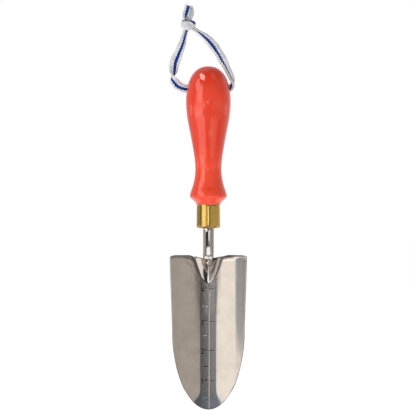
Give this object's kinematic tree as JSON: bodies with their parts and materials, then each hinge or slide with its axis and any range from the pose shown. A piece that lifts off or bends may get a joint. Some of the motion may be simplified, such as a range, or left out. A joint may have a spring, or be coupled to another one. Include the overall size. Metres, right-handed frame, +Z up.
{
  "type": "hand trowel",
  "caption": "Garden hand trowel: pear-shaped painted wooden handle, brass ferrule, cranked round stem, pressed stainless pan blade with a depth scale, and a knotted hanging cord.",
  "frame": {"origin": "on the handle's axis, level with the blade's tip: the centre of the bottom face of the object's box", "axes": "+Z up the handle's axis from the blade's tip to the cord, +X across the blade to its right side, -Y the way the blade's hollow face looks"},
  "size_m": [0.0642, 0.0372, 0.335],
  "materials": {
    "painted_wood": "gloss coral-red paint on turned wood",
    "brass": "drawn and polished",
    "bright_bar": "polished round steel bar",
    "polished_sheet": "polished stainless sheet with fine lengthwise scratches",
    "weld_metal": "cleaned weld bead",
    "braid": "flat white braid with a blue centre stripe"
  },
  "bodies": {
    "trowel": {"handle": "painted_wood", "ferrule": "brass", "stem": "bright_bar", "blade": "polished_sheet", "weld_front": "weld_metal", "weld_back_left": "weld_metal", "weld_back_right": "weld_metal"},
    "cord_sides": {"cord_lower": "braid"},
    "cord_loop": {"cord_upper": "braid"}
  },
  "joints": [
    {"name": "cord_swing", "type": "hinge", "parent": "trowel", "child": "cord_sides", "pos_m": [0, 0, 0.266], "axis": [1, 0, 0], "range_deg": [-90, 90]},
    {"name": "cord_fold", "type": "hinge", "parent": "cord_sides", "child": "cord_loop", "pos_m": [0, 0, 0.2915], "axis": [1, 0, 0], "range_deg": [-75, 75]}
  ]
}
